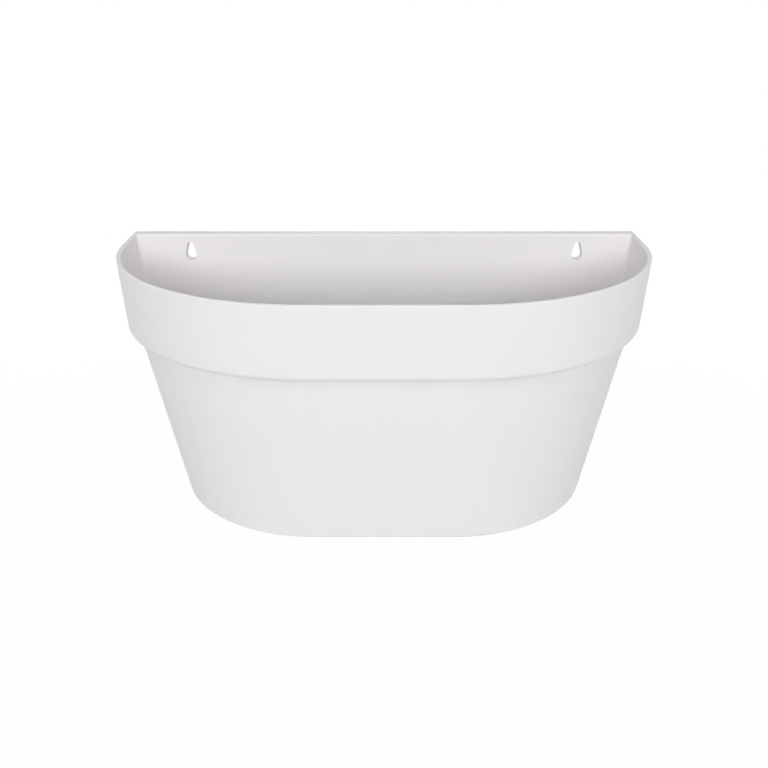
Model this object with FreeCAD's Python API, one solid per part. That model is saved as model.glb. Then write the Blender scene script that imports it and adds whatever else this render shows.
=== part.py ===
import FreeCAD, Part
import math
import os

# Half-round wall planter: a moulded shell, a lift-out reservoir insert and two drain plugs.
#
# Millimetres, +Z up. The wall plane is y = 0 and the planter comes forward along -Y. The origin
# lies on the wall plane, midway between the two screw seats that the planter hangs on.

Vector = FreeCAD.Vector
UP = Vector(0, 0, 1)
TOUCH = 1e-6  # two heights or places closer than this are the same

# ---- Driving dimensions ---------------------------------------------------------------------

# Rim, seen from above: straight back, short straight sides, quarter-circle corners, straight front
rim_width = 386.0
rim_depth = 184.0
side_run = 40.2

# Outside, seen from the side: a rim band over a narrower tapered body
height = 185.5
band_height = 52.5
band_draft = 4.4  # degrees from upright
body_draft = 11.65  # degrees from upright
step = 6.7197  # how far the band stands out past the body

# Moulded wall
wall = 3.0
floor_thickness = 3.0
foot_height = 5.0
foot_width = 4.5

# Roundings
rim_round = 1.1
band_round = 5.0
step_round = 1.6
ledge_round = 2.8
base_round = 2.0
floor_round = 6.0
panel_round = 2.0
recess_round = 1.0

# Back: a panel held off the wall by a border, and stiffened behind by ribs
back_depth = 8.0
panel_thickness = 3.0
rib_thickness = 2.4
rib_pitch = 58.0
rib_count = 5

# Teardrop hanging holes: the screw head enters low down, and the shank rises into the narrow seat
hanging_spacing = 298.0
seat_below_rim = 8.5
seat_radius = 2.1
entry_radius = 4.1
entry_drop = 8.0  # from the seat's centre down to the entry's centre
boss_wall = 2.4

# Drain holes in the floor
drain_radius = 6.0
drain_x = 100.0
drain_y = -75.0

# Drain plugs: a hollow stem, a flange against the floor's underside and a grip bar
plug_clearance = 0.05
plug_stand = 4.0  # how far the stem reaches above the floor
plug_wall = 1.8
plug_lead = 0.8
flange_overlap = 3.6
flange_thickness = 1.6
flange_round = 0.4
grip_length = 12.0
grip_width = 2.6
grip_drop = 2.9

# Reservoir insert: a perforated deck with a lip, on two soil wells and four legs
insert_clearance = 1.5
deck_rise = 30.0  # from the floor to the deck's underside
deck_thickness = 1.8
lip_height = 7.0
lip_thickness = 1.8
well_x = 40.0
well_y = -76.0
well_top_radius = 23.0
well_foot_radius = 19.0
well_wall = 2.0
slot_width = 3.0
slot_height = 16.0
slot_count = 6
leg_radius = 5.0
leg_wall = 1.6
leg_inset = 13.0
leg_angles = (4.0, 72.0)  # degrees round each corner, from the side towards the front
finger_radius = 12.0
perforation_radius = 2.0
perforation_pitch = 13.5
perforation_margin = 7.0

# ---- Places that follow from them -----------------------------------------------------------

corner_radius = rim_depth - side_run
corner_x = rim_width / 2 - corner_radius
band_slope = math.tan(math.radians(band_draft))
body_slope = math.tan(math.radians(body_draft))
band_wall = wall / math.cos(math.radians(band_draft))
body_wall = wall / math.cos(math.radians(body_draft))

rim_z = seat_below_rim
band_z = rim_z - band_height
base_z = rim_z - height
recess_z = base_z + foot_height
floor_z = recess_z + floor_thickness
ledge_z = band_z + wall
deck_z = floor_z + deck_rise
deck_top_z = deck_z + deck_thickness

# The roundings on either side of the step share its width, outside and inside
band_fillet = min(band_round, 0.7 * step)
step_fillet = min(step_round, 0.25 * step)
ledge_fillet = min(ledge_round, 0.5 * step)
panel_fillet = min(panel_round, 0.8 * ledge_fillet)

# A reach is the distance of a wall from a corner's axis, which is the same all round the plan
band_reach = corner_radius - band_height * band_slope
body_reach = band_reach - step
base_reach = body_reach - (height - band_height) * body_slope
insert_back = back_depth + insert_clearance


def band_inside(z):
    """Reach of the band's inner face at a height."""
    return corner_radius - (rim_z - z) * band_slope - band_wall


def body_inside(z):
    """Reach of the body's inner face at a height."""
    return base_reach + (z - base_z) * body_slope - body_wall


# ---- Shared shapes --------------------------------------------------------------------------


def section(corners):
    """Upright face from (reach, height, rounding) corners, with reach measured along -Y."""
    points = [Vector(0, -reach, z) for reach, z, rounding in corners]
    edges = []
    ends = []
    for index, point in enumerate(points):
        rounding = corners[index][2]
        back = (points[index - 1] - point).normalize()
        ahead = (points[(index + 1) % len(points)] - point).normalize()
        if rounding == 0:
            ends.append((point, point))
            continue
        half_angle = back.getAngle(ahead) / 2
        start = point + back * (rounding / math.tan(half_angle))
        end = point + ahead * (rounding / math.tan(half_angle))
        inward = (back + ahead).normalize()
        middle = point + inward * (rounding / math.sin(half_angle) - rounding)
        edges.append(Part.Arc(start, middle, end).toShape())
        ends.append((start, end))
    for index in range(len(points)):
        edges.append(Part.makeLine(ends[index - 1][1], ends[index][0]))
    return Part.Face(Part.Wire(Part.__sortEdges__(edges)))


def joined(pieces):
    """One solid from pieces that share faces."""
    return pieces[0].multiFuse(pieces[1:]).removeSplitter()


def around(corners, back_gap=0.0):
    """Carry a section round the plan: across the front, round both corners and along both sides.

    The sides stop back_gap short of the wall plane. A section that touches the corner's axis
    is a floor or a block there, and the space between the two axes is filled to match.
    """
    outline = section(corners)
    outline.translate(Vector(corner_x, -side_run, 0))
    axis = Vector(corner_x, -side_run, 0)
    corner = outline.revolve(axis, UP, 90)
    side = outline.rotated(axis, UP, 90).extrude(Vector(0, side_run - back_gap, 0))
    front = outline.extrude(Vector(-2 * corner_x, 0, 0))
    left = [piece.mirror(Vector(0, 0, 0), Vector(1, 0, 0)) for piece in (corner, side)]
    pieces = [front, corner, side] + left
    core = [z for reach, z, rounding in corners if reach == 0]
    if core:
        pieces.append(box(corner_x, -side_run, -back_gap, min(core), max(core)))
    return joined(pieces)


def box(half_width, front_y, back_y, low_z, high_z):
    """Block centred on the planter's middle plane."""
    place = Vector(-half_width, front_y, low_z)
    return Part.makeBox(2 * half_width, back_y - front_y, high_z - low_z, place)


def teardrop(x, growth, front_y, back_y):
    """Upright teardrop prism about one hanging hole, grown outward all round."""
    top = seat_radius + growth
    low = entry_radius + growth
    lean = math.asin((low - top) / entry_drop)
    side = Vector(math.cos(lean), 0, math.sin(lean))
    seat = Vector(x, front_y, 0)
    entry = Vector(x, front_y, -entry_drop)
    mirrored = Vector(-side.x, 0, side.z)
    edges = [
        Part.Arc(entry + mirrored * low, entry - UP * low, entry + side * low).toShape(),
        Part.makeLine(entry + side * low, seat + side * top),
        Part.Arc(seat + side * top, seat + UP * top, seat + mirrored * top).toShape(),
        Part.makeLine(seat + mirrored * top, entry + mirrored * low),
    ]
    return Part.Face(Part.Wire(edges)).extrude(Vector(0, back_y - front_y, 0))


# ---- Planter shell --------------------------------------------------------------------------


def outside():
    """Outer profile, from the rim down to the base."""
    return [
        (corner_radius, rim_z, rim_round),
        (band_reach, band_z, band_fillet),
        (body_reach, band_z, step_fillet),
        (base_reach, base_z, base_round),
    ]


def outer_block():
    """The planter's whole outside as a solid block, to trim what the back is built from."""
    return around(outside() + [(0, base_z, 0), (0, rim_z, 0)])


def wall_and_floor():
    """Stepped wall, floor and foot ring, open at the back."""
    return around(outside() + [
        (base_reach - foot_width, base_z, 0),
        (base_reach - foot_width, recess_z, recess_round),
        (0, recess_z, 0),
        (0, floor_z, 0),
        (body_inside(floor_z), floor_z, floor_round),
        (body_inside(ledge_z), ledge_z, ledge_fillet),
        (band_inside(ledge_z), ledge_z, ledge_fillet),
        (band_inside(rim_z), rim_z, 0),
    ])


def back_frame():
    """Panel, borders and ribs of the flat back, cut to the planter's outside."""
    wide = rim_width / 2
    rib_front = -back_depth + panel_thickness
    pieces = [
        box(wide, -back_depth, rib_front, recess_z, rim_z),
        box(wide, rib_front, 0, rim_z - wall, rim_z),
        box(wide, rib_front, 0, -rib_thickness / 2, rib_thickness / 2),
        box(wide, -foot_width, 0, base_z, floor_z),
    ]
    for index in range(rib_count):
        rib = box(rib_thickness / 2, rib_front, 0, floor_z, rim_z)
        rib.translate(Vector((index - (rib_count - 1) / 2) * rib_pitch, 0, 0))
        pieces.append(rib)
    for side in (-1, 1):
        pieces.append(teardrop(side * hanging_spacing / 2, boss_wall, rib_front, 0))
    return joined(pieces).common(outer_block())


def panel_edge(shell, z):
    """Long straight edge of the panel's inner face at a height."""
    level = [
        edge for edge in shell.Edges
        if all(abs(end.Y + back_depth) < TOUCH and abs(end.Z - z) < TOUCH for end in edge.Vertexes)
    ]
    return max(level, key=lambda edge: edge.Length)


def planter_shell():
    """One moulding. Each rounding runs on from its edge along every edge that is tangent to it."""
    shell = joined([wall_and_floor(), back_frame()])
    shell = shell.makeFillet(panel_fillet, [panel_edge(shell, floor_z)])
    shell = shell.makeFillet(rim_round, [panel_edge(shell, rim_z)])
    for side in (-1, 1):
        shell = shell.cut(teardrop(side * hanging_spacing / 2, 0, -2 * back_depth, back_depth))
        drain = Vector(side * drain_x, drain_y, base_z)
        shell = shell.cut(Part.makeCylinder(drain_radius, floor_z - base_z + wall, drain, UP))
    return shell


# ---- Reservoir insert -----------------------------------------------------------------------


def deck():
    """Raised deck with a lip that follows the shell's wall."""
    edge = body_inside(deck_z) - insert_clearance
    lip_z = deck_top_z + lip_height
    lip_edge = body_inside(lip_z) - insert_clearance
    plate = around([
        (0, deck_z, 0),
        (edge, deck_z, 0),
        (lip_edge, lip_z, 0),
        (lip_edge - lip_thickness, lip_z, 0),
        (body_inside(deck_top_z) - insert_clearance - lip_thickness, deck_top_z, 0),
        (0, deck_top_z, 0),
    ], insert_back)
    inside = around([
        (0, deck_z, 0),
        (edge, deck_z, 0),
        (lip_edge, lip_z, 0),
        (0, lip_z, 0),
    ], insert_back)
    back_lip = box(rim_width / 2, -insert_back - lip_thickness, -insert_back, deck_z, lip_z)
    return joined([plate, back_lip.common(inside)])


def leg_places():
    """Leg centres, on the rounded corners just inside the wall at floor level."""
    places = []
    reach = body_inside(floor_z) - leg_inset
    for side in (-1, 1):
        for angle in leg_angles:
            turn = math.radians(angle)
            x = corner_x + reach * math.cos(turn)
            places.append(Vector(side * x, -side_run - reach * math.sin(turn), floor_z))
    return places


def well_places():
    return [Vector(side * well_x, well_y, floor_z) for side in (-1, 1)]


def finger_places():
    """Finger holes, above the drains."""
    return [Vector(side * drain_x, drain_y, deck_z) for side in (-1, 1)]


def well(place):
    """Tapered cup from the deck down to the floor, with upright slots that let water in."""
    rise = deck_top_z - floor_z
    cup = Part.makeCone(well_foot_radius, well_top_radius, rise, place, UP)
    hollow = Part.makeCone(
        well_foot_radius - well_wall, well_top_radius - well_wall, rise, place + UP * well_wall, UP)
    cup = cup.cut(hollow)
    slot_place = place + Vector(0, -slot_width / 2, 2 * well_wall)
    slot = Part.makeBox(2 * well_top_radius, slot_width, slot_height, slot_place)
    for index in range(slot_count):
        cup = cup.cut(slot.rotated(place, UP, (index + 0.5) * 360 / slot_count))
    return cup


def leg(place):
    """Hollow leg from the floor to the deck."""
    post = Part.makeCylinder(leg_radius, deck_rise, place, UP)
    return post.cut(Part.makeCylinder(leg_radius - leg_wall, deck_rise, place, UP))


def perforations():
    """Small round holes in staggered rows, wherever the deck is clear of its other features."""
    edge = body_inside(deck_z) - insert_clearance - lip_thickness - perforation_margin
    taken = [(place, well_top_radius) for place in well_places()]
    taken += [(place, finger_radius) for place in finger_places()]
    taken += [(place, leg_radius) for place in leg_places()]
    across = int(rim_width / 2 / perforation_pitch)
    rows = int(rim_depth / perforation_pitch)
    holes = []
    for row in range(rows + 1):
        y = -insert_back - lip_thickness - perforation_margin - row * perforation_pitch
        for column in range(-across, across + 1):
            x = (column + 0.5 * (row % 2)) * perforation_pitch
            past_corner = math.hypot(max(abs(x) - corner_x, 0), max(-y - side_run, 0))
            clear = all(
                math.hypot(x - place.x, y - place.y) > radius + perforation_margin
                for place, radius in taken)
            if clear and past_corner < edge:
                place = Vector(x, y, deck_z - deck_thickness)
                holes.append(Part.makeCylinder(perforation_radius, 3 * deck_thickness, place, UP))
    return holes


def reservoir_insert():
    plate = deck()
    openings = perforations()
    for place in well_places():
        openings.append(Part.makeCylinder(well_top_radius - well_wall, 3 * deck_rise, place, UP))
    for place in finger_places():
        openings.append(Part.makeCylinder(finger_radius, deck_rise, place - UP * deck_rise / 2, UP))
    plate = plate.cut(openings)
    supports = [well(place) for place in well_places()]
    supports += [leg(place) for place in leg_places()]
    return joined([plate] + supports)


# ---- Drain plugs ----------------------------------------------------------------------------


def drain_plug(side):
    """Plug pushed up into one drain hole, all of it above the plane the planter stands on."""
    stem = drain_radius - plug_clearance
    top_z = floor_z + plug_stand
    flange_z = recess_z - flange_thickness
    body = section([
        (0, flange_z, 0),
        (drain_radius + flange_overlap, flange_z, flange_round),
        (drain_radius + flange_overlap, recess_z, flange_round),
        (stem, recess_z, 0),
        (stem, top_z, plug_lead),
        (stem - plug_wall, top_z, 0),
        (stem - plug_wall, recess_z + plug_wall, 0),
        (0, recess_z + plug_wall, 0),
    ]).revolve(Vector(0, 0, 0), UP, 360)
    grip = box(grip_length / 2, -grip_width / 2, grip_width / 2, flange_z - grip_drop, flange_z)
    upright = [edge for edge in grip.Edges if abs(edge.Length - grip_drop) < TOUCH]
    grip = grip.makeFillet(0.45 * grip_width, upright)
    plug = joined([body, grip])
    plug.translate(Vector(side * drain_x, drain_y, 0))
    return plug


# ---- Parts ----------------------------------------------------------------------------------

parts = {
    "planter_shell": planter_shell(),
    "reservoir_insert": reservoir_insert(),
    "drain_plug_left": drain_plug(-1),
    "drain_plug_right": drain_plug(1),
}

os.makedirs("parts", exist_ok=True)
for name, shape in parts.items():
    print(name, "solids", len(shape.Solids), "valid", shape.isValid(), "volume", round(shape.Volume))
    shape.exportStep("parts/" + name + ".step")
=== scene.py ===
# %% [markdown]
# # A half-round wall planter
#
# This lesson dresses a wall planter of white moulded plastic. The real thing is four pieces: one
# shell that hangs on two screws, a dark insert that keeps the soil off the water, and two soft
# plugs in the drain holes. We make each surface from a formula, as a whole numpy array, and then
# give it the finish that a mould leaves on plastic.

# %% Load the fixed frame
import math

import bpy
import numpy as np
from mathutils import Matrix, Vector


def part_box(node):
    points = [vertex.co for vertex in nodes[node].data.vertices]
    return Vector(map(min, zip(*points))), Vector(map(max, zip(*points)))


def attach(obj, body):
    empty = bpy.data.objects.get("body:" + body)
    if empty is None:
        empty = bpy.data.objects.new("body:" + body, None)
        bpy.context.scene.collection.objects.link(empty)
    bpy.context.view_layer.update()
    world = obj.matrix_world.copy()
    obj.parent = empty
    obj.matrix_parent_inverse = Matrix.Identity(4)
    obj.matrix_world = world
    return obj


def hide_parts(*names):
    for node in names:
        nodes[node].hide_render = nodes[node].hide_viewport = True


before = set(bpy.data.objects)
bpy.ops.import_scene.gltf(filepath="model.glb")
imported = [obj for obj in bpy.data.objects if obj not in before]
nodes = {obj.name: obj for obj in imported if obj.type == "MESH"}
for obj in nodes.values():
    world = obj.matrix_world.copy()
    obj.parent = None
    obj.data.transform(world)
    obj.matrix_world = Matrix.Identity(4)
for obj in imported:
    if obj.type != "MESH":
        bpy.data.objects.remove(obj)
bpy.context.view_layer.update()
mm = 0.001
print("nodes", sorted(nodes))

# %% [markdown]
# ## The sizes that everything follows
#
# The frame gives the planter's outer box. What it can't give are the sizes within that box, so
# they are written here once, in millimetres. Each level of the walls could be drawn by itself, but
# the plan only grows towards the rim, so one number for each level is enough. A *reach* is how far
# a wall stands from the upright axis of its corner. The whole plan is drawn round two such axes,
# so one reach places a wall on the front, the corners and the sides alike.

# %% Sizes of the shell
shell_low, shell_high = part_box("planter_shell")
rim_z = shell_high[2]
base_z = shell_low[2]
side_run = 40.2 * mm
rim_reach = 143.8 * mm
corner_x = 49.2 * mm
band_height = 52.5 * mm
step = 6.72 * mm
wall = 3.0 * mm
foot_height = 5.0 * mm
foot_width = 4.5 * mm
back_depth = 8.0 * mm
panel_thickness = 3.0 * mm
band_slope = math.tan(math.radians(4.4))
body_slope = math.tan(math.radians(11.65))
print("outer size", [round((high - low) / mm, 1) for low, high in zip(shell_low, shell_high)])

# %% Levels and reaches of the walls
band_z = rim_z - band_height
ledge_z = band_z + wall
recess_z = base_z + foot_height
floor_z = recess_z + wall
band_reach = rim_reach - band_height * band_slope
body_reach = band_reach - step
base_reach = body_reach - (band_z - base_z) * body_slope


def band_inside(z):
    """Reach of the band's inner face: the outer face moved in by the wall, at right angles."""
    return rim_reach - (rim_z - z) * band_slope - wall * math.hypot(1, band_slope)


def body_inside(z):
    """Reach of the body's inner face, in the same way."""
    return base_reach + (z - base_z) * body_slope - wall * math.hypot(1, body_slope)


print("rim", round(2 * (corner_x + rim_reach) / mm, 1), "mm wide")
print("base reach", round(base_reach / mm, 1), "mm")

# %% [markdown]
# ## Rounded profiles
#
# Moulded plastic has no sharp corner that the mould maker could avoid, and the light on those
# small roundings is most of what the eye reads as plastic. A profile is a row of corners, and each
# corner is cut back and bridged by an arc. A bevel could do that later, but here each edge has a
# rounding of its own. The arc is written as a rational curve on three points, which is an exact
# circle, and which still spreads its points out where the corner is straight.

# %% Profile helper
TURN_STEPS = 9
RUN_STEPS = 4
STRAIGHT = 1e-3  # half a turn, in radians, under which a corner counts as straight


def rounded(corners):
    """Points along a polyline whose inner corners are arcs.

    A corner is (across, up, radius). The arc starts and ends at radius * tan(half the turn) from
    the corner, and a corner with no turn spreads its points over that radius each way. Point t of
    the arc is (1-t)^2 A + 2 w t (1-t) P + t^2 B over the sum of its weights, with w the cosine of
    half the turn. Runs between arcs get points that crowd towards their ends.
    """
    places = np.array([corner[:2] for corner in corners], float)
    along = np.diff(places, axis=0)
    along /= np.linalg.norm(along, axis=1, keepdims=True)
    pieces = [places[:1]]
    run = ((1 - np.cos(np.pi * np.arange(1, RUN_STEPS) / RUN_STEPS)) / 2)[:, None]
    t = np.linspace(0, 1, TURN_STEPS)[:, None]
    for index in range(1, len(places)):
        start = pieces[-1][-1]
        if index == len(places) - 1:
            pieces.append(start + run * (places[index] - start))
            pieces.append(places[index:])
            break
        half_turn = np.arccos(np.clip(along[index - 1] @ along[index], -1, 1)) / 2
        radius = corners[index][2]
        cut = radius * math.tan(half_turn) if half_turn > STRAIGHT else radius
        first = places[index] - along[index - 1] * cut
        last = places[index] + along[index] * cut
        pieces.append(start + run * (first - start))
        weight = math.cos(half_turn)
        top = (1 - t) ** 2 * first + 2 * weight * t * (1 - t) * places[index] + t ** 2 * last
        pieces.append(top / ((1 - t) ** 2 + 2 * weight * t * (1 - t) + t ** 2))
    return np.concatenate(pieces)


print("one rounded corner:", len(rounded([(0, 0, 0), (1, 0, 0.2), (1, 1, 0)])), "points")

# %% [markdown]
# ## The shell as a stack of rings
#
# A ring runs once round the plan: along the front, round a large corner, back along the side,
# round a small corner at the wall and across the back. The shell's skin is a stack of such rings,
# from the recess under the floor, out over the foot, up the outside, over the rim and down the
# inside to the floor. The sides follow one profile and the back follows another, because the
# stepped band stops at the flat back. Where the ring turns from side to back, it passes smoothly
# from one profile's height to the other's.

# %% Ring helper
FRONT_STEPS = 6
CORNER_STEPS = 56
SIDE_STEPS = 5
BACK_CORNER_STEPS = 8
BACK_STEPS = 10


def rings(reach, z, back, back_z, turn, square):
    """Closed rings of points, one per level, mirrored about the middle plane.

    Each argument is an array with one value per level. Half a ring is the front run, a quarter
    circle of that reach, the side run, a corner of radius turn, and the back run. square, 0 or 1,
    pushes the points of that corner out on to its two straight edges. Returns (levels, points, 3)
    and the place in a ring of the middle of the right back corner.
    """
    reach, z, back, back_z, turn, square = [
        np.asarray(value, float)[:, None] for value in (reach, z, back, back_z, turn, square)]
    front = np.linspace(0, 1, FRONT_STEPS, endpoint=False)[None]
    large = np.linspace(-np.pi / 2, 0, CORNER_STEPS, endpoint=False)[None]
    side = np.linspace(0, 1, SIDE_STEPS, endpoint=False)[None]
    small = np.linspace(0, np.pi / 2, BACK_CORNER_STEPS + 1)[None, :-1]
    across = np.linspace(0, 1, BACK_STEPS + 1)[None]
    spread = np.maximum(np.cos(small), np.sin(small)) ** square
    x = np.hstack([
        np.ones_like(reach) * corner_x * front,
        corner_x + reach * np.cos(large),
        corner_x + reach * np.ones_like(side),
        corner_x + reach - turn + turn * np.cos(small) / spread,
        (corner_x + reach - turn) * (1 - across),
    ])
    y = np.hstack([
        -(side_run + reach) * np.ones_like(front),
        -side_run + reach * np.sin(large),
        -side_run + (side_run + back - turn) * side,
        back - turn + turn * np.sin(small) / spread,
        back * np.ones_like(across),
    ])
    level_part = np.zeros((1, FRONT_STEPS + CORNER_STEPS + SIDE_STEPS))
    lift = np.hstack([level_part, np.sin(small) ** 2, np.ones_like(across)])
    height = z + (back_z - z) * lift
    half = np.stack([x, y, height], axis=2)
    mirrored = half[:, -2:0:-1] * [-1, 1, 1]
    middle = FRONT_STEPS + CORNER_STEPS + SIDE_STEPS + BACK_CORNER_STEPS // 2
    return np.concatenate([half, mirrored], axis=1), middle


half_ring = FRONT_STEPS + CORNER_STEPS + SIDE_STEPS + BACK_CORNER_STEPS + BACK_STEPS
print("one ring:", 2 * half_ring, "points")

# %% [markdown]
# The stretches of the skin come next. Under the base, the foot ring goes round a shallow recess.
# Outside, there is only one profile, and the back is left open: it is a single flat face. Inside,
# the back goes straight down from the rim to the floor, so its two middle corners are there only
# to match the points of the ledge. The rim's rounding is tight, and the band's lower edge is soft.

# %% Profiles of the shell
rim_crest = rim_reach - 1.36 * mm  # where the outside's profile ends and the inside's begins
crest_half = 0.07 * mm
base_edge = base_reach - 2.2 * mm
recess_run, floor_run = 4 * mm, 12 * mm
recess_round, foot_round, base_round = 1.0 * mm, 0.5 * mm, 2.0 * mm
step_round, band_round = 1.6 * mm, 5.0 * mm
rim_outer_round, rim_inner_round = 1.1 * mm, 1.6 * mm
ledge_round, floor_round = 2.8 * mm, 6.0 * mm
panel_crest, panel_top_round, panel_foot_round = 2.4 * mm, 1.7 * mm, 3.0 * mm
ledge_match, match_spread = 3.4 * mm, 2.4 * mm


def under_profile(inner, outer):
    """From the recess down to the foot ring's underside and out to where the outside begins."""
    return rounded([
        (inner - recess_run, recess_z, 0), (inner, recess_z, recess_round),
        (inner, base_z, foot_round), (outer, base_z, 0)])


under_side = under_profile(base_reach - foot_width, base_edge)
under_back = under_profile(-foot_width, 0)
outside = rounded([
    (base_edge, base_z, 0),
    (base_reach, base_z, base_round),
    (body_reach, band_z, step_round),
    (band_reach, band_z, band_round),
    (rim_reach, rim_z, rim_outer_round),
    (rim_crest + crest_half, rim_z, 0),
])
inside_side = rounded([
    (rim_crest - crest_half, rim_z, 0),
    (band_inside(rim_z), rim_z, rim_inner_round),
    (band_inside(ledge_z), ledge_z, ledge_round),
    (body_inside(ledge_z), ledge_z, ledge_round),
    (body_inside(floor_z), floor_z, floor_round),
    (body_inside(floor_z) - floor_run, floor_z, 0),
])
inside_back = rounded([
    (-back_depth + panel_crest, rim_z, 0),
    (-back_depth, rim_z, panel_top_round),
    (-back_depth, ledge_z + ledge_match, match_spread),
    (-back_depth, ledge_z - ledge_match, match_spread),
    (-back_depth, floor_z, panel_foot_round),
    (-back_depth - floor_run, floor_z, 0),
])
print("levels", [len(part) for part in (under_side, outside, inside_side)])

# %% [markdown]
# Now the stretches become one closed skin. The grid's cells are its faces, apart from the cells
# across the back of the outside, where one flat face takes their place. A last flat face closes
# the recess and another the floor. The skin's signed volume says whether its faces point outwards.

# %% Mesh helpers


def make_object(name, points, faces):
    """Mesh object from an array of points and a list of faces, turned outwards if need be."""
    mesh = bpy.data.meshes.new(name)
    mesh.from_pydata(points.tolist(), [], faces)
    mesh.update()
    if signed_volume(mesh) < 0:
        mesh.flip_normals()
    obj = bpy.data.objects.new(name, mesh)
    bpy.context.scene.collection.objects.link(obj)
    return obj


def signed_volume(mesh):
    """Volume inside a closed mesh, below zero where its faces point inwards.

    It is a sixth of the sum of a . (b x c) over the mesh's triangles, with corners a, b and c.
    """
    mesh.calc_loop_triangles()
    corners = np.empty(3 * len(mesh.loop_triangles), np.int32)
    mesh.loop_triangles.foreach_get("vertices", corners)
    points = np.empty(3 * len(mesh.vertices), np.float32)
    mesh.vertices.foreach_get("co", points)
    a, b, c = points.reshape(-1, 3).astype(float)[corners.reshape(-1, 3)].transpose(1, 0, 2)
    return float(np.einsum("ij,ij->", a, np.cross(b, c)) / 6)


def grid_faces(rows, columns):
    """Quads between neighbouring rows of a grid whose rows are closed rings."""
    row, column = np.meshgrid(np.arange(rows - 1), np.arange(columns), indexing="ij")
    ahead = (column + 1) % columns
    corners = [row * columns + column, row * columns + ahead,
               (row + 1) * columns + ahead, (row + 1) * columns + column]
    return np.stack(corners, axis=-1)


def end_caps(rows, columns):
    """The flat faces that close the first and the last ring of such a grid."""
    return [list(range(columns))[::-1], list(range((rows - 1) * columns, rows * columns))]


# %% [markdown]
# Where the side meets the back inside, the real moulding shows a crisp edge near the rim and only
# soft shade lower down. So the rounding of that corner isn't one number: it grows with the depth
# below the rim. The other corners at the wall are square outside and nearly so under the base.

# %% Build the shell's skin
square_corner = 2 * mm
recess_corner = 1 * mm
inner_corner = 2.2 * mm
corner_growth = 4.3 * mm
growth_depth = 30 * mm


def shell_skin():
    """The whole shell as one closed skin, still without its holes and back pockets.

    The inner corner at the back grows by corner_growth * d^2 (3 - 2 d), where d goes from 0 at the
    rim to 1 at growth_depth below it. A level whose back line lies off the inner face, on the rim
    or in on the floor, gets a corner that is larger by that offset.
    """
    outside_back = outside * [0, 1]
    side = np.concatenate([under_side, outside[1:], inside_side])
    back = np.concatenate([under_back, outside_back[1:], inside_back])
    first_open = len(under_side) - 1
    last_open = first_open + len(outside) - 1
    level = np.arange(len(side))
    square = (level >= first_open) & (level <= last_open)
    offset = np.abs(back[:, 0] + np.where(level > last_open, back_depth, foot_width))
    depth = np.clip((rim_z - back[:, 1]) / growth_depth, 0, 1)
    inner = inner_corner + corner_growth * depth ** 2 * (3 - 2 * depth)
    turn = np.where(level < first_open, recess_corner, inner) + offset
    turn = np.where(square, square_corner, turn)
    points, middle = rings(side[:, 0], side[:, 1], back[:, 0], back[:, 1], turn, square)
    levels, count = points.shape[:2]
    faces = grid_faces(levels, count)
    keep = np.ones((levels - 1, count), bool)
    keep[first_open:last_open, middle:count - middle] = False
    across = np.arange(middle + 1, count - middle)
    column = np.arange(first_open, last_open + 1) * count
    back_face = np.concatenate([
        column + middle, last_open * count + across,
        (column + count - middle)[::-1], first_open * count + across[::-1]])
    caps = end_caps(levels, count) + [back_face[::-1].tolist()]
    faces = faces[keep].tolist() + caps
    used = np.unique(np.concatenate([np.array(face) for face in faces]))
    renumber = np.full(levels * count, -1)
    renumber[used] = np.arange(len(used))
    faces = [renumber[face].tolist() for face in faces]
    return make_object("shell_moulding", points.reshape(-1, 3)[used], faces)


shell = shell_skin()
print("skin", len(shell.data.vertices), "points,", round(signed_volume(shell.data) * 1e6, 1), "ml")

# %% [markdown]
# ## Holes and pockets
#
# The shell hangs on two teardrop holes: the screw's head goes in low down, and its shank rises
# into the narrow top. Behind the panel lie shallow pockets between ribs. A hole could be worked
# into the grid of the skin, but it would pull the neighbouring rings out of line, so every hole
# and pocket is drawn as an outline and cut out later.

# %% Outline helpers
seat_radius, entry_radius, entry_drop = 2.1 * mm, 4.1 * mm, 8 * mm
SEAT_STEPS, ENTRY_STEPS = 25, 41


def closed(corners):
    """A rounded outline that closes on itself, from corners that start in the middle of a side."""
    return rounded(corners)[:-1]


def teardrop(x, growth):
    """Two arcs round the seat and the entry, and the two straight lines that touch both.

    The lines lean from the upright by the angle whose sine is (entry - seat) / drop.
    """
    top, low = seat_radius + growth, entry_radius + growth
    lean = math.asin((low - top) / entry_drop)
    over = np.linspace(lean, math.pi - lean, SEAT_STEPS)
    under = np.linspace(math.pi - lean, 2 * math.pi + lean, ENTRY_STEPS)
    seat = np.stack([x + top * np.cos(over), top * np.sin(over)], axis=1)
    entry = np.stack([x + low * np.cos(under), low * np.sin(under) - entry_drop], axis=1)
    return np.concatenate([seat, entry])


def circle(x, y, radius, steps):
    """Points at even angles round a circle about (x, y)."""
    turn = np.linspace(0, 2 * math.pi, steps, endpoint=False)
    return np.stack([x + radius * np.cos(turn), y + radius * np.sin(turn)], axis=1)


print("teardrop", len(teardrop(0, 0)), "points")

# %% [markdown]
# A cutter is an outline carried straight through the wall. The edge of a moulded hole is never
# sharp, so the outline grows by a quarter round as it comes to a face, and then runs on a little
# past it, because a boolean is unsure of a face that cutter and wall share.

# %% Prism helpers
hair = 0.02 * mm  # how far a cutter's mouth stands past a face


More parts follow.
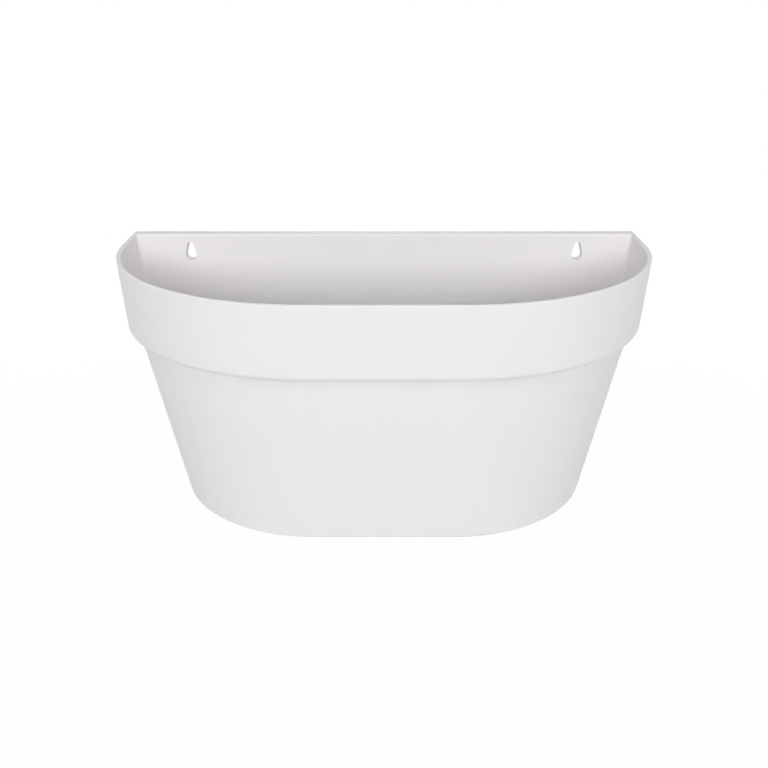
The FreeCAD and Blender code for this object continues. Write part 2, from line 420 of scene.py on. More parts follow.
def prism(outline, rows, upright=False):
    """Points and faces of an outline carried straight along y, or along z if upright.

    A row is (place along the axis, growth), and the outline's points move out by that growth,
    at right angles to the line through their two neighbours.
    """
    rows = np.asarray(rows, float)
    ahead = np.roll(outline, -1, 0) - np.roll(outline, 1, 0)
    following = np.roll(outline, -1, 0)
    area = np.sum(outline[:, 0] * following[:, 1] - outline[:, 1] * following[:, 0])
    outward = np.stack([ahead[:, 1], -ahead[:, 0]], axis=1) * np.sign(area)
    outward /= np.linalg.norm(outward, axis=1, keepdims=True)
    plan = outline[None] + rows[:, 1][:, None, None] * outward[None]
    place = np.broadcast_to(rows[:, 0][:, None], plan.shape[:2])
    first, second = plan[..., 0], plan[..., 1]
    order = [first, second, place] if upright else [first, place, second]
    count = len(outline)
    faces = grid_faces(len(rows), count).reshape(-1, 4).tolist() + end_caps(len(rows), count)
    return np.stack(order, axis=2).reshape(-1, 3), faces


def flare(place, radius, inward, steps=5):
    """Rows of a quarter round that widens towards a face at place, and a little past it."""
    turn = np.linspace(0, math.pi / 2, steps)
    along = place + inward * (radius - (radius + hair) * np.sin(turn))
    return np.stack([along, radius * (1 - np.cos(turn))], axis=1)


def through_rows(start, low, high, end, radius, steps=5):
    """Rows of a hole from face low to face high, flared at both, that runs on to start and end."""
    return np.concatenate([
        [[start, radius]], flare(low, radius, 1, steps)[::-1],
        flare(high, radius, -1, steps), [[end, radius]]])


print("rows of a hole", len(through_rows(-mm, 0, mm, 2 * mm, 0.2 * mm)))

# %% [markdown]
# The cutters of a piece become one object, and one exact boolean takes them out together, because
# their edges then run cleanly through the flat faces. It needs closed solids that don't cross, and
# it is applied at once, so that no modifier is left on the piece.

# %% Solids and booleans


def solids(name, parts):
    """One object from several (points, faces) solids, each turned outwards by its own volume."""
    objects = [make_object(name, points, faces) for points, faces in parts]
    if len(objects) > 1:
        chosen = {"active_object": objects[0], "selected_editable_objects": objects}
        with bpy.context.temp_override(**chosen):
            bpy.ops.object.join()
    return objects[0]


def combine(target, other, operation):
    """Boolean of two closed meshes, applied at once. The other object is removed."""
    modifier = target.modifiers.new("combine", "BOOLEAN")
    modifier.operation = operation
    modifier.solver = "EXACT"
    modifier.object = other
    graph = bpy.context.evaluated_depsgraph_get()
    mesh = bpy.data.meshes.new_from_object(target.evaluated_get(graph))
    target.modifiers.clear()
    old, target.data = target.data, mesh
    mesh.name = target.name
    bpy.data.meshes.remove(old)
    bpy.data.objects.remove(other)
    return target


# %% [markdown]
# The back is 8 mm deep, far thicker than the walls, and solid plastic as thick as that would sink
# as it cools. So the mould leaves a panel of wall thickness, with ribs and a border on it, and
# twelve pockets between them. Four on each side of the middle are plain rounded rectangles.

# %% Plain pockets behind the panel
rib_half = 1.2 * mm
rib_pitch = 58.0 * mm
pocket_top = rim_z - wall
pocket_front = -back_depth + panel_thickness
pocket_mouth = 0.4 * mm
pocket_rows = np.concatenate([
    [[pocket_front, -0.5 * mm], [pocket_front + 0.15 * mm, -0.15 * mm]],
    [[pocket_front + 0.5 * mm, 0]],
    flare(0, pocket_mouth, -1),
    [[2 * mm, pocket_mouth]],
])


def plain_pockets():
    """Outlines of the four rectangular pockets on the right, under and over the hanging rail."""
    outlines = []
    for column in range(2):
        left, right = column * rib_pitch + rib_half, (column + 1) * rib_pitch - rib_half
        middle = (left + right) / 2
        for low, high, turn in ((floor_z, -rib_half, 2 * mm), (rib_half, pocket_top, 1 * mm)):
            outlines.append(closed([
                (middle, low, 0), (right, low, turn), (right, high, turn),
                (left, high, turn), (left, low, turn), (middle, low, 0)]))
    return outlines


print("plain pockets", len(plain_pockets()), "on each side")

# %% [markdown]
# The two pockets at each end follow the side wall, and the hanging hole lies between them. A boss
# stiffens the hole's edge, so the pockets go round a teardrop that is larger by the boss's wall.

# %% End pockets, round the bosses of the hanging holes
seat_x = 149.0 * mm
boss_wall = 2.4 * mm
low_gap, top_gap = 9 * mm, 8 * mm  # from the hole's middle to where the rounded run leaves off


def end_pockets():
    """Outlines of the two pockets at the right end, under and over the hanging rail.

    Each runs round its own edge and back along the part of the boss on its side of the rail. Under
    the rail, the boss starts at the width that it has just over it.
    """
    left = 2 * rib_pitch + rib_half
    collar = teardrop(seat_x, boss_wall)
    above = collar[collar[:, 1] > rib_half][::-1]
    below = collar[collar[:, 1] < -rib_half]
    right_shoulder = above[-1:] * [1, 0] - [0, rib_half]
    left_shoulder = [[2 * seat_x - above[-1, 0], -rib_half]]
    below = np.concatenate([left_shoulder, below, right_shoulder])
    low_run = rounded([
        (seat_x + low_gap, -rib_half, 0),
        (corner_x + band_inside(-rib_half), -rib_half, 2 * mm),
        (corner_x + band_inside(ledge_z), ledge_z, 2.5 * mm),
        (corner_x + body_inside(ledge_z), ledge_z, 2.5 * mm),
        (corner_x + body_inside(floor_z), floor_z, 3 * mm),
        (left, floor_z, 2 * mm),
        (left, -rib_half, 2 * mm),
        (seat_x - low_gap, -rib_half, 0),
    ])
    top_run = rounded([
        (seat_x + top_gap, rib_half, 0),
        (corner_x + band_inside(rib_half), rib_half, 1 * mm),
        (corner_x + band_inside(pocket_top), pocket_top, 1 * mm),
        (left, pocket_top, 1 * mm),
        (left, rib_half, 1 * mm),
        (seat_x - top_gap, rib_half, 0),
    ])
    return [np.concatenate([low_run, below]), np.concatenate([top_run, above])]


pockets = [prism(outline * [side, 1], pocket_rows)
           for side in (-1, 1) for outline in plain_pockets() + end_pockets()]
print("pockets", len(pockets))

# %% [markdown]
# Under the floor are the two drain holes and the shallow round marks of the pins that push such a
# moulding off its mould. The marks could be a bump in the material, but a shape that can be seen
# belongs in the mesh, so they are cut out with the holes.

# %% Hanging holes, drain holes and the marks of the ejector pins
drain_x, drain_y, drain_radius = 100 * mm, -75 * mm, 6 * mm
pin_radius, pin_spots = 4 * mm, ((32, -30), (32, -120), (118, -30))
seat_mouth, drain_mouth = 0.35 * mm, 0.5 * mm
DRAIN_STEPS, PIN_STEPS = 64, 40
hole_rows = through_rows(-back_depth - 2 * mm, -back_depth, 0, 2 * mm, seat_mouth)
drain_rows = through_rows(base_z - 2 * mm, recess_z, floor_z, floor_z + 2 * mm, drain_mouth)
pin_rows = [[recess_z - 1 * mm, 0], [recess_z + 0.2 * mm, 0], [recess_z + 0.25 * mm, -0.1 * mm]]
holes = [prism(teardrop(side * seat_x, 0), hole_rows) for side in (-1, 1)]
holes += [prism(circle(side * drain_x, drain_y, drain_radius, DRAIN_STEPS), drain_rows, True)
          for side in (-1, 1)]
holes += [prism(circle(side * x * mm, y * mm, pin_radius, PIN_STEPS), pin_rows, True)
          for side in (-1, 1) for x, y in pin_spots]
combine(shell, solids("shell_cutter", pockets + holes), "DIFFERENCE")
print("shell", len(shell.data.polygons), "faces,", round(signed_volume(shell.data) * 1e6, 1), "ml")

# %% [markdown]
# ## The reservoir insert
#
# A planter without a drain needs a way to keep roots out of standing water. Here it is a dark
# perforated deck on four legs, and two slotted cups that reach down and draw water up into the
# soil. The deck and its lip are drawn as the shell was, as a stack of rings, so that they follow
# the same plan a small gap inside it. The cups and legs are solids of revolution.

# %% Solids of revolution


def revolve(profile, x, y, steps):
    """Points and faces of a (radius, height) profile turned about an upright axis.

    Point (radius, height) at angle a goes to (x + radius cos a, y + radius sin a, height). Flat
    faces close the first and the last ring, so a profile starts and ends close to the axis.
    """
    radius, height = np.asarray(profile, float).T
    turn = np.linspace(0, 2 * math.pi, steps, endpoint=False)
    points = np.stack([x + radius[:, None] * np.cos(turn), y + radius[:, None] * np.sin(turn),
                       np.broadcast_to(height[:, None], (len(radius), steps))], axis=2)
    faces = grid_faces(len(radius), steps).reshape(-1, 4).tolist() + end_caps(len(radius), steps)
    return points.reshape(-1, 3), faces


# %% Deck and lip of the insert
gap = 1.5 * mm
deck_z = floor_z + 30 * mm
deck_top = deck_z + 1.8 * mm
lip_z = deck_top + 7 * mm
lip = 1.8 * mm
under_round, lip_round, deck_round = 1.2 * mm, 0.7 * mm, 1.4 * mm
insert_back = -back_depth - gap


def insert_edge(z):
    """Reach of the insert's outer edge: the body's inner face, moved in by the gap."""
    return body_inside(z) - gap


def deck_profile(edge):
    """Under the deck, up the lip's outside, over it and down to the deck, for an edge(z)."""
    return rounded([
        (edge(deck_z) - floor_run, deck_z, 0),
        (edge(deck_z), deck_z, under_round),
        (edge(lip_z), lip_z, lip_round),
        (edge(lip_z) - lip, lip_z, lip_round),
        (edge(deck_top) - lip, deck_top, deck_round),
        (edge(deck_top) - floor_run, deck_top, 0),
    ])


deck_side = deck_profile(insert_edge)
deck_back = deck_profile(lambda z: insert_back)
deck_corner, corner_loss = 4 * mm, 3 * mm  # the corner's radius, and the most it shrinks inwards
deck_turn = deck_corner - np.minimum(insert_back - deck_back[:, 0], corner_loss)
deck_points, _ = rings(deck_side[:, 0], deck_side[:, 1], deck_back[:, 0], deck_back[:, 1],
                       deck_turn, np.zeros(len(deck_side)))
deck_levels, deck_count = deck_points.shape[:2]
deck_faces = grid_faces(deck_levels, deck_count).reshape(-1, 4).tolist()
deck_faces += end_caps(deck_levels, deck_count)
insert = make_object("insert_moulding", deck_points.reshape(-1, 3), deck_faces)
print("deck", round(signed_volume(insert.data) * 1e6, 1), "ml")

# %% [markdown]
# The cups stand on the floor and taper downwards, so that they slip off their mould. The legs are
# hollow from below, because no part of a moulding is much thicker than its walls. Each is a solid
# profile and a hollow one, turned about the same axis. The solids go on in one union, and the
# hollows come out later, together with the holes.

# %% Cups and legs
near_axis = 0.5 * mm
cup_foot, cup_growth, cup_wall = 19 * mm, 4 * mm, 2 * mm
leg_radius, leg_bore, leg_mouth = 5 * mm, 3.4 * mm, 3.9 * mm
CUP_STEPS, LEG_STEPS = 72, 36
well_places = [(side * 40 * mm, -76 * mm) for side in (-1, 1)]
leg_reach = body_inside(floor_z) - 13 * mm
leg_places = [(side * (corner_x + leg_reach * math.cos(math.radians(angle))),
               -side_run - leg_reach * math.sin(math.radians(angle)))
              for side in (-1, 1) for angle in (4, 72)]


def well_radius(z):
    """Outer radius of a cup, which grows evenly from the floor to the top of the deck."""
    return cup_foot + cup_growth * (z - floor_z) / (deck_top - floor_z)


well_solid = rounded([
    (near_axis, floor_z, 0),
    (well_radius(floor_z), floor_z, 1.0 * mm),
    (well_radius(deck_top - 0.5 * mm), deck_top - 0.5 * mm, 0),
    (near_axis, deck_top - 0.5 * mm, 0),
])
leg_solid = rounded([
    (near_axis, floor_z, 0),
    (leg_radius, floor_z, 0.5 * mm),
    (leg_radius, deck_z + 1 * mm, 0),
    (near_axis, deck_z + 1 * mm, 0),
])
supports = [revolve(well_solid, x, y, CUP_STEPS) for x, y in well_places]
supports += [revolve(leg_solid, x, y, LEG_STEPS) for x, y in leg_places]
combine(insert, solids("supports", supports), "UNION")
print("deck with", len(supports), "cups and legs",
      round(signed_volume(insert.data) * 1e6, 1), "ml")

# %% Hollows of the cups and legs
well_hollow = rounded([
    (near_axis, floor_z + cup_wall, 0),
    (well_radius(floor_z) - cup_wall, floor_z + cup_wall, 1.5 * mm),
    (well_radius(deck_top) - cup_wall, deck_top, 0.8 * mm),
    (well_radius(deck_top), deck_top + hair, 0.1 * mm),
    (well_radius(deck_top), deck_top + 3 * mm, 0),
    (near_axis, deck_top + 3 * mm, 0),
])
leg_hollow = rounded([
    (near_axis, floor_z - 2 * mm, 0),
    (leg_mouth, floor_z - 2 * mm, 0),
    (leg_mouth, floor_z - hair, 0),
    (leg_bore, floor_z + 0.5 * mm, 0.3 * mm),
    (leg_bore, deck_z, 0.5 * mm),
    (near_axis, deck_z, 0),
])
openings = [revolve(well_hollow, x, y, CUP_STEPS) for x, y in well_places]
openings += [revolve(leg_hollow, x, y, LEG_STEPS) for x, y in leg_places]
print("hollows", len(openings))

# %% [markdown]
# The deck's holes let water through and air into the soil. Dots in the material would look flat,
# so each is a real hole, but with only 20 sides because there are so many. They stand in staggered
# rows, which leave out the places where a cup, a leg, a finger hole or the lip is too near.

# %% Perforations and finger holes
hole_radius, hole_mouth = 2 * mm, 0.3 * mm
finger_radius, finger_mouth = 12 * mm, 0.6 * mm
hole_pitch, hole_margin = 13.5 * mm, 7 * mm
HOLE_STEPS, FINGER_STEPS = 20, 64
GRID_STEPS = 14  # rows, and columns each way from the middle: more than the deck holds
finger_places = [(side * drain_x, drain_y) for side in (-1, 1)]


def perforation_places():
    """Centres in staggered rows, where they are clear of the cups, legs and lip.

    How far a centre lies past the straight runs, measured from the nearest corner axis, is its
    reach, and it has to be less than the lip's by a margin.
    """
    columns = np.arange(-GRID_STEPS, GRID_STEPS + 1)
    grids = np.meshgrid(np.arange(GRID_STEPS), columns, indexing="ij")
    row, column = [grid.ravel() for grid in grids]
    x = (column + 0.5 * (row % 2)) * hole_pitch
    y = insert_back - lip - hole_margin - row * hole_pitch
    reach = np.hypot(np.maximum(abs(x) - corner_x, 0), np.maximum(-y - side_run, 0))
    clear = reach < insert_edge(deck_z) - lip - hole_margin
    taken = [(place, cup_foot + cup_growth) for place in well_places]
    taken += [(place, finger_radius) for place in finger_places]
    taken += [(place, leg_radius) for place in leg_places]
    for (place_x, place_y), radius in taken:
        clear &= np.hypot(x - place_x, y - place_y) > radius + hole_margin
    return np.stack([x[clear], y[clear]], axis=1)


deck_places = (deck_z - 1 * mm, deck_z, deck_top, deck_top + 1 * mm)
perforation_rows = through_rows(*deck_places, hole_mouth, 3)
finger_rows = through_rows(*deck_places, finger_mouth)
perforations = perforation_places()
openings += [prism(circle(x, y, finger_radius, FINGER_STEPS), finger_rows, True)
             for x, y in finger_places]
openings += [prism(circle(x, y, hole_radius, HOLE_STEPS), perforation_rows, True)
             for x, y in perforations]
combine(insert, solids("openings", openings), "DIFFERENCE")
print("insert", len(perforations), "perforations,",
      round(signed_volume(insert.data) * 1e6, 1), "ml")

# %% [markdown]
# Six upright slots in each cup let water in and keep soil back. Their cutters would cross those of
# the cups' hollows, so they come out by a boolean of their own.

# %% Slots of the cups
slot_low, slot_high = floor_z + 4 * mm, floor_z + 20 * mm
slot_half, slot_round = 1.5 * mm, 1.2 * mm
slot_start, slot_end = 8 * mm, 25 * mm  # from the cup's axis


def slot_cutter(x, y, angle):
    """A slot's rounded upright outline, carried outwards through the wall of a cup at an angle."""
    outline = closed([
        (0, slot_low, 0), (slot_half, slot_low, slot_round), (slot_half, slot_high, slot_round),
        (-slot_half, slot_high, slot_round), (-slot_half, slot_low, slot_round), (0, slot_low, 0)])
    points, faces = prism(outline, [(slot_start, 0), (slot_end, 0)])
    turned = points[:, :2] @ np.array([[math.cos(angle), math.sin(angle)],
                                       [-math.sin(angle), math.cos(angle)]])
    return np.column_stack([turned + [x, y], points[:, 2]]), faces


slots = [slot_cutter(x, y, math.radians(60 * index + 30))
         for x, y in well_places for index in range(6)]
combine(insert, solids("slots", slots), "DIFFERENCE")
print("insert", len(insert.data.polygons), "faces,",
      round(signed_volume(insert.data) * 1e6, 1), "ml")

# %% [markdown]
# ## The drain plugs
#
# Outdoors the two drain holes are open, and indoors a soft plug closes each. It is a short hollow
# stem with a flange, and a grip bar below to pull it by. The stem and the flange are one profile
# turned about an upright axis. The bar is a rounded outline with a rounded lower edge.

# %% Drain plugs
stem, stem_wall = drain_radius - 0.05 * mm, 1.8 * mm
flange, plug_core = drain_radius + 3.6 * mm, 0.3 * mm
flange_z = recess_z - 1.6 * mm
plug_top = floor_z + 4 * mm
grip_long, grip_thick, grip_round = 6 * mm, 1.3 * mm, 1.2 * mm
plug_profile = rounded([
    (plug_core, flange_z, 0), (flange, flange_z, 0.5 * mm),
    (flange, recess_z, 0.4 * mm), (stem, recess_z, 0.15 * mm),
    (stem, plug_top, 0.8 * mm), (stem - stem_wall, plug_top, 0.5 * mm),
    (stem - stem_wall, recess_z + stem_wall, 0.6 * mm), (plug_core, recess_z + stem_wall, 0)])
grip_rows = [
    [base_z + 0.5 * mm, -0.5 * mm], [base_z + 0.65 * mm, -0.15 * mm], [base_z + 1 * mm, 0],
    [flange_z - 0.4 * mm, 0], [flange_z - 0.1 * mm, 0.12 * mm], [flange_z + 0.3 * mm, 0.4 * mm]]


def drain_plug(name, x):
    """One plug: the turned body, joined to the grip bar under it."""
    left, right = x - grip_long, x + grip_long
    near, far = drain_y - grip_thick, drain_y + grip_thick
    bar = closed([
        (x, near, 0), (right, near, grip_round), (right, far, grip_round),
        (left, far, grip_round), (left, near, grip_round), (x, near, 0)])
    plug = solids(name, [revolve(plug_profile, x, drain_y, CUP_STEPS)])
    return combine(plug, solids("grip", [prism(bar, grip_rows, True)]), "UNION")


plugs = {side: drain_plug("plug_" + side, sign * drain_x)
         for side, sign in (("left", -1), ("right", 1))}
print("plugs", [round(signed_volume(plug.data) * 1e6, 2) for plug in plugs.values()], "ml")

# %% [markdown]
# ## Materials
#
# The shell is one white plastic, and what makes it look real is small: a fine grain that the mould
# left, slow streaks where the melt flowed, and a sheen that changes a little where hands and
# cloths have rubbed it. Each of these is a node group with named sockets, built once, so that the
# insert and the plugs can use it with values of their own.

# %% Node group helpers


def node_group(name, inputs, outputs):
    """Empty shader node group with float or colour sockets and its two end nodes."""
    group = bpy.data.node_groups.new(name, "ShaderNodeTree")
    for label, default in inputs:
        kind = "NodeSocketFloat" if isinstance(default, (int, float)) else "NodeSocketColor"
        socket = group.interface.new_socket(label, in_out="INPUT", socket_type=kind)
        socket.default_value = default
    for label, kind in outputs:
        group.interface.new_socket(label, in_out="OUTPUT", socket_type=kind)
    return group, group.nodes.new("NodeGroupInput"), group.nodes.new("NodeGroupOutput")


def set_inputs(node, **values):
    """Set a node's inputs by name, with _ for a space. Returns the node."""
    for label, value in values.items():
        node.inputs[label.replace("_", " ")].default_value = value
    return node


def math_node(tree, operation, first, second=None, third=None):
    """Math node whose inputs are sockets or numbers. Returns its output socket."""
    node = tree.nodes.new("ShaderNodeMath")
    node.operation = operation
    for socket, value in zip(node.inputs, (first, second, third)):
        if isinstance(value, bpy.types.NodeSocket):
            tree.links.new(value, socket)
        elif value is not None:
            socket.default_value = value
    return node.outputs[0]


def object_position(tree, stretch=(1, 1, 1)):
    """Object coordinates, stretched by a Mapping node."""
    place = tree.nodes.new("ShaderNodeTexCoord")
    mapping = set_inputs(tree.nodes.new("ShaderNodeMapping"), Scale=stretch)
    tree.links.new(place.outputs["Object"], mapping.inputs["Vector"])
    return mapping.outputs["Vector"]


def noise(tree, vector, scale, detail=2.0, roughness=0.5):
    """Noise texture in cycles per metre. Returns its value, which stays near 0.5."""
    node = tree.nodes.new("ShaderNodeTexNoise")
    set_inputs(node, Detail=detail, Roughness=roughness)
    tree.links.new(vector, node.inputs["Vector"])
    if isinstance(scale, bpy.types.NodeSocket):
        tree.links.new(scale, node.inputs["Scale"])
    else:
        set_inputs(node, Scale=scale)
    return node.outputs["Fac"]


# %% [markdown]
# The steel of a satin mould is etched or spark-eroded, and the plastic copies its fine pits. An
# image of them would blur from close by, and noise doesn't. Two layers are enough: pits about half
# a millimetre wide, and a slower unevenness, so that large faces don't look like glass.

# %% Mould grain
SLOW_SHARE = 0.08  # how many waves of the unevenness go with one pit


def build_mould_grain():
    """Height of a mould face: fine rounded pits, plus a share of a coarser unevenness."""
    group, start, end = node_group(
        "mould_grain", [("Pits per metre", 1800.0), ("Unevenness", 0.25)],
        [("Height", "NodeSocketFloat")])
    vector = object_position(group)
    pits = noise(group, vector, start.outputs["Pits per metre"], detail=3.0, roughness=0.6)
    slow_scale = math_node(group, "MULTIPLY", start.outputs["Pits per metre"], SLOW_SHARE)
    slow = noise(group, vector, slow_scale)
    height = math_node(group, "MULTIPLY_ADD", slow, start.outputs["Unevenness"], pits)
    group.links.new(height, end.inputs["Height"])
    return group


mould_grain = build_mould_grain()
print("group", mould_grain.name, [item.name for item in mould_grain.interface.items_tree])

# %% [markdown]
# Melted plastic runs up the walls from the base and leaves its pigment in faint upright streaks
# and fine flecks. A noise that is stretched along the height gives the streaks, and a fine round
# one gives the flecks. Both only scale the base colour, by 1 + streaks (s - 0.5) + flecks
# (f - 0.5), so the same group suits white and dark plastic.

# %% Flow shade


def build_flow_shade():
    """Base colour, made a little lighter and darker by slow upright streaks and fine flecks."""
    group, start, end = node_group(
        "flow_shade", [("Color", (0.8, 0.8, 0.8, 1)), ("Streaks", 0.02), ("Flecks", 0.02)],
        [("Color", "NodeSocketColor")])
    streaks = noise(group, object_position(group, (1, 1, 0.22)), 24.0, detail=3.0)
    flecks = noise(group, object_position(group), 900.0, detail=1.0)
    lift = math_node(group, "MULTIPLY", math_node(group, "SUBTRACT", streaks, 0.5),
                     start.outputs["Streaks"])
    lift = math_node(group, "MULTIPLY_ADD", math_node(group, "SUBTRACT", flecks, 0.5),
                     start.outputs["Flecks"], lift)
    scale = group.nodes.new("ShaderNodeVectorMath")
    scale.operation = "SCALE"
    group.links.new(start.outputs["Color"], scale.inputs[0])
    group.links.new(math_node(group, "ADD", lift, 1.0), scale.inputs["Scale"])
    group.links.new(scale.outputs["Vector"], end.inputs["Color"])
    return group


flow_shade = build_flow_shade()
print("group", flow_shade.name, [item.name for item in flow_shade.interface.items_tree])

# %% [markdown]
# A planter that has been wiped and carried is shinier in cloudy patches and duller in fine scuffs.
# That is a matter of roughness and not of colour, so this group changes roughness alone. A
# threshold on the finer noise leaves only a few scuffs of it.

# %% Handled sheen


def build_handled_sheen():
    """Roughness of a satin plastic: cloudy wiping marks, and a few finer scuffs over them."""
    group, start, end = node_group(
        "handled_sheen", [("Roughness", 0.5), ("Clouds", 0.1), ("Scuffs", 0.05)],
        [("Roughness", "NodeSocketFloat")])
    clouds = noise(group, object_position(group), 16.0, detail=3.0, roughness=0.55)
    fine = noise(group, object_position(group, (1, 1, 6)), 130.0, detail=4.0, roughness=0.6)
    scuffs = set_inputs(group.nodes.new("ShaderNodeMapRange"), From_Min=0.58, From_Max=0.72)
    group.links.new(fine, scuffs.inputs["Value"])
    value = math_node(group, "MULTIPLY_ADD", math_node(group, "SUBTRACT", clouds, 0.5),
                      start.outputs["Clouds"], start.outputs["Roughness"])
    value = math_node(group, "MULTIPLY_ADD", scuffs.outputs["Result"],
                      start.outputs["Scuffs"], value)
    group.links.new(value, end.inputs["Roughness"])
    return group


handled_sheen = build_handled_sheen()
print("group", handled_sheen.name, [item.name for item in handled_sheen.interface.items_tree])

# %% [markdown]
# One function builds every plastic of this object from the three groups. The shell is a clean
# white, the insert a dark recycled plastic with stronger flecks, and the plugs a duller rubber.
# Values that are the same all over a piece go straight to the shader's own sockets.

# %% Moulded plastic material


def place_group(tree, group, **values):
    """Place a node group in a material, with values of its own."""
    node = tree.nodes.new("ShaderNodeGroup")
    node.node_tree = group
    return set_inputs(node, **values)


def moulded_plastic(name, color, roughness, specular, pits, depth, streaks, flecks):
    """Plastic with grain, flow shade and handled sheen. Pits are per metre, depth is in metres."""
    material = bpy.data.materials.new(name)
    material.use_nodes = True
    tree = material.node_tree
    shader = set_inputs(tree.nodes["Principled BSDF"], IOR=1.49, Specular_IOR_Level=specular)
    shade = place_group(tree, flow_shade, Color=color, Streaks=streaks, Flecks=flecks)
    sheen = place_group(tree, handled_sheen, Roughness=roughness, Clouds=0.12, Scuffs=0.06)
    grain = place_group(tree, mould_grain, Pits_per_metre=pits)
    bump = set_inputs(tree.nodes.new("ShaderNodeBump"), Strength=1.0, Distance=depth)
    tree.links.new(shade.outputs["Color"], shader.inputs["Base Color"])
    tree.links.new(sheen.outputs["Roughness"], shader.inputs["Roughness"])
    tree.links.new(grain.outputs["Height"], bump.inputs["Height"])
    tree.links.new(bump.outputs["Normal"], shader.inputs["Normal"])
    return material


shell_plastic = moulded_plastic(
    "white_shell_plastic", (0.83, 0.808, 0.83, 1), roughness=0.5, specular=0.5,
    pits=1800.0, depth=0.00002, streaks=0.02, flecks=0.02)
insert_plastic = moulded_plastic(
    "dark_insert_plastic", (0.055, 0.057, 0.06, 1), roughness=0.6, specular=0.5,
    pits=1400.0, depth=0.00004, streaks=0.2, flecks=0.25)
plug_rubber = moulded_plastic(
    "grey_plug_rubber", (0.2, 0.2, 0.205, 1), roughness=0.75, specular=0.4,
    pits=2200.0, depth=0.00003, streaks=0.08, flecks=0.12)
print("materials", shell_plastic.name, insert_plastic.name, plug_rubber.name)

# %% [markdown]
# ## Finish the pieces
#
# Each piece takes its material, rides on its body of the frame and stands in for its node there.
# Faces that meet at a gentle angle are shaded smooth, and sharper edges stay sharp. A Weighted
# Normal modifier then keeps the large flat faces flat right up to their small roundings.

# %% Finish and ride
SHARP_ANGLE = math.radians(35)
FLAT_WEIGHT = 60


def finish_piece(piece, name, body, node, material):
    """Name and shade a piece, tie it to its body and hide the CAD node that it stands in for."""
    piece.name = piece.data.name = name
    piece.data.materials.clear()
    piece.data.materials.append(material)
    piece.data.shade_smooth()
    piece.data.set_sharp_from_angle(angle=SHARP_ANGLE)
    weighted = piece.modifiers.new("flat faces stay flat", "WEIGHTED_NORMAL")
    weighted.keep_sharp = True
    weighted.weight = FLAT_WEIGHT
    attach(piece, body)
    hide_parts(node)
    print(name, len(piece.data.polygons), "faces")


finish_piece(shell, "moulded_shell", "planter", "planter_shell", shell_plastic)
finish_piece(insert, "perforated_insert", "insert", "reservoir_insert", insert_plastic)
finish_piece(plugs["left"], "left_plug", "plug_left", "drain_plug_left", plug_rubber)
finish_piece(plugs["right"], "right_plug", "plug_right", "drain_plug_right", plug_rubber)

# %% [markdown]
# ## Camera, floor and light
#
# The photograph looks down at the planter by about 23 degrees from less than a metre away, which
# is why the far rim looks so much narrower than the near one. The planter hangs in the air before
# a white ground, so the pale floor lies well below it and there is no wall behind it.

# %% Camera
look_down = 22.8
camera_data = bpy.data.cameras.new("camera")
camera_data.lens = 45.5
camera_data.sensor_width = 36
camera = bpy.data.objects.new("camera", camera_data)
camera.location = (0, -0.739, 0.1908)
camera.rotation_euler = (math.radians(90 - look_down), 0, 0)
bpy.context.scene.collection.objects.link(camera)
bpy.context.scene.camera = camera
print("camera", tuple(round(value, 3) for value in camera.location))

# %% [markdown]
# The white ground has no horizon and hardly a shadow. Light strong enough to make a floor white
# would wash out the planter, so the floor is only pale, and the Light Path node gives most of its
# brightness to the eye and to reflections as plain white.

# %% Floor
floor_drop = 0.9
floor_half = 8.0


def seen_by_eye(tree):
    """1 for what the camera sees, directly, in a reflection or through something."""
    path = tree.nodes.new("ShaderNodeLightPath")
    seen = math_node(tree, "MAXIMUM", path.outputs["Is Camera Ray"], path.outputs["Is Glossy Ray"])
    return math_node(tree, "MAXIMUM", seen, path.outputs["Is Transmission Ray"])


def floor_material():
    """Pale diffuse floor, most of whose brightness is given to the eye as plain white.

    The white share grows with distance from the planter, so that the floor runs out into the
    white ground, and the rest still takes the planter's shadow.
    """
    material = bpy.data.materials.new("pale_floor")
    material.use_nodes = True
    tree = material.node_tree
    tree.nodes.remove(tree.nodes["Principled BSDF"])
    diffuse = set_inputs(tree.nodes.new("ShaderNodeBsdfDiffuse"), Color=(0.82, 0.82, 0.82, 1))
    white = tree.nodes.new("ShaderNodeEmission")
    mix = tree.nodes.new("ShaderNodeMixShader")
    distance = tree.nodes.new("ShaderNodeVectorMath")
    distance.operation = "LENGTH"
    tree.links.new(object_position(tree), distance.inputs[0])
    share = set_inputs(tree.nodes.new("ShaderNodeMapRange"),
                       From_Min=0.5, From_Max=3.0, To_Min=0.95, To_Max=1.0)
    tree.links.new(distance.outputs["Value"], share.inputs["Value"])
    factor = math_node(tree, "MULTIPLY", share.outputs["Result"], seen_by_eye(tree))
    tree.links.new(factor, mix.inputs[0])
    tree.links.new(diffuse.outputs[0], mix.inputs[1])
    tree.links.new(white.outputs[0], mix.inputs[2])
    tree.links.new(mix.outputs[0], tree.nodes["Material Output"].inputs["Surface"])
    return material


corners = floor_half * np.array([[-1, -1], [1, -1], [1, 1], [-1, 1]], float)
floor_points = np.column_stack([corners, np.full(4, base_z - floor_drop)])
floor = make_object("floor", floor_points, [[0, 1, 2, 3]])
floor.data.materials.append(floor_material())
print("floor at", round(base_z - floor_drop, 3), "m")

# %% [markdown]
# A studio lights a white object from broad soft sources all round. Area lamps suit that, because
# their size sets how soft a shade's edge is. The front lamp does most of the work, and the high
# one reaches the back's inner face and leaves the soft shade under the band. Those at the front
# corners and the sides keep the outline from going dark. The rest stand in for what a white room
# throws back from behind and from below.

# %% Light
planter_middle = Vector((0, -0.1, -0.05))


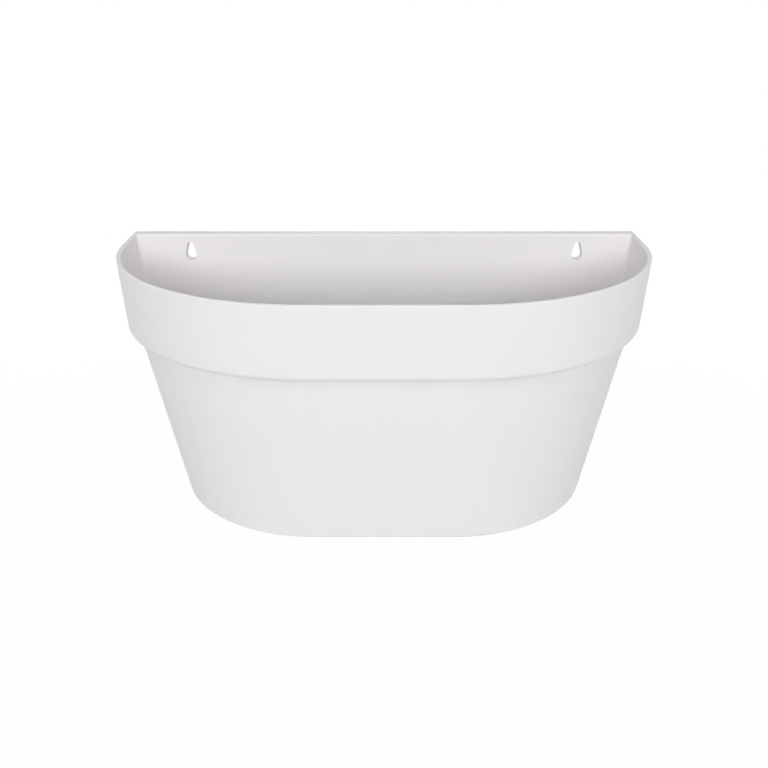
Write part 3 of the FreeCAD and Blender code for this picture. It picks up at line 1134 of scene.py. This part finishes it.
def soft_lamp(name, azimuth, elevation, width, height, power, away=2.6):
    """Area lamp some metres away from the planter's middle, which it faces. Its power is in watts.

    Azimuth 0 is straight in front, and grows to the right. Both angles are in degrees.
    """
    around, up = math.radians(azimuth), math.radians(elevation)
    level = math.cos(up)
    towards = Vector((level * math.sin(around), -level * math.cos(around), math.sin(up)))
    data = bpy.data.lights.new(name, "AREA")
    data.shape = "RECTANGLE"
    data.size, data.size_y = width, height
    data.energy = power
    lamp = bpy.data.objects.new(name, data)
    lamp.location = planter_middle + away * towards
    lamp.rotation_euler = towards.to_track_quat("Z", "Y").to_euler()
    bpy.context.scene.collection.objects.link(lamp)


# name, azimuth, elevation, width, height, watts, and metres away
soft_lamp("front_lamp", 0, 16, 0.9, 0.7, 33.5)
soft_lamp("high_front_lamp", 0, 50, 0.9, 0.7, 10.5)
soft_lamp("low_front_lamp", 0, -60, 0.6, 0.5, 0.6, 1.0)
for side in (-1, 1):
    soft_lamp("front_side_lamp", side * 45, 26, 0.9, 0.9, 9)
    soft_lamp("side_lamp", side * 90, 16, 0.9, 0.7, 12.5)
    soft_lamp("rear_side_lamp", side * 135, 35, 0.9, 0.7, 8)
soft_lamp("rear_lamp", 180, 4, 0.9, 0.7, 11)

# %% [markdown]
# The world does two jobs. To the eye and in reflections it is the plain white ground, where a
# strength of 1 is white. To the planter it is a faint even light, which fills the deepest shade.

# %% Surroundings
world = bpy.context.scene.world or bpy.data.worlds.new("surroundings")
bpy.context.scene.world = world
world.use_nodes = True
tree = world.node_tree
tree.nodes.clear()
white = (1, 1, 1, 1)
ambient = set_inputs(tree.nodes.new("ShaderNodeBackground"), Color=white, Strength=0.06)
ground = set_inputs(tree.nodes.new("ShaderNodeBackground"), Color=white, Strength=1.0)
mix = tree.nodes.new("ShaderNodeMixShader")
tree.links.new(seen_by_eye(tree), mix.inputs[0])
tree.links.new(ambient.outputs[0], mix.inputs[1])
tree.links.new(ground.outputs[0], mix.inputs[2])
end = tree.nodes.new("ShaderNodeOutputWorld")
tree.links.new(mix.outputs[0], end.inputs["Surface"])
bpy.context.scene.view_settings.view_transform = "Standard"
print("ambient strength", round(ambient.inputs["Strength"].default_value, 3))
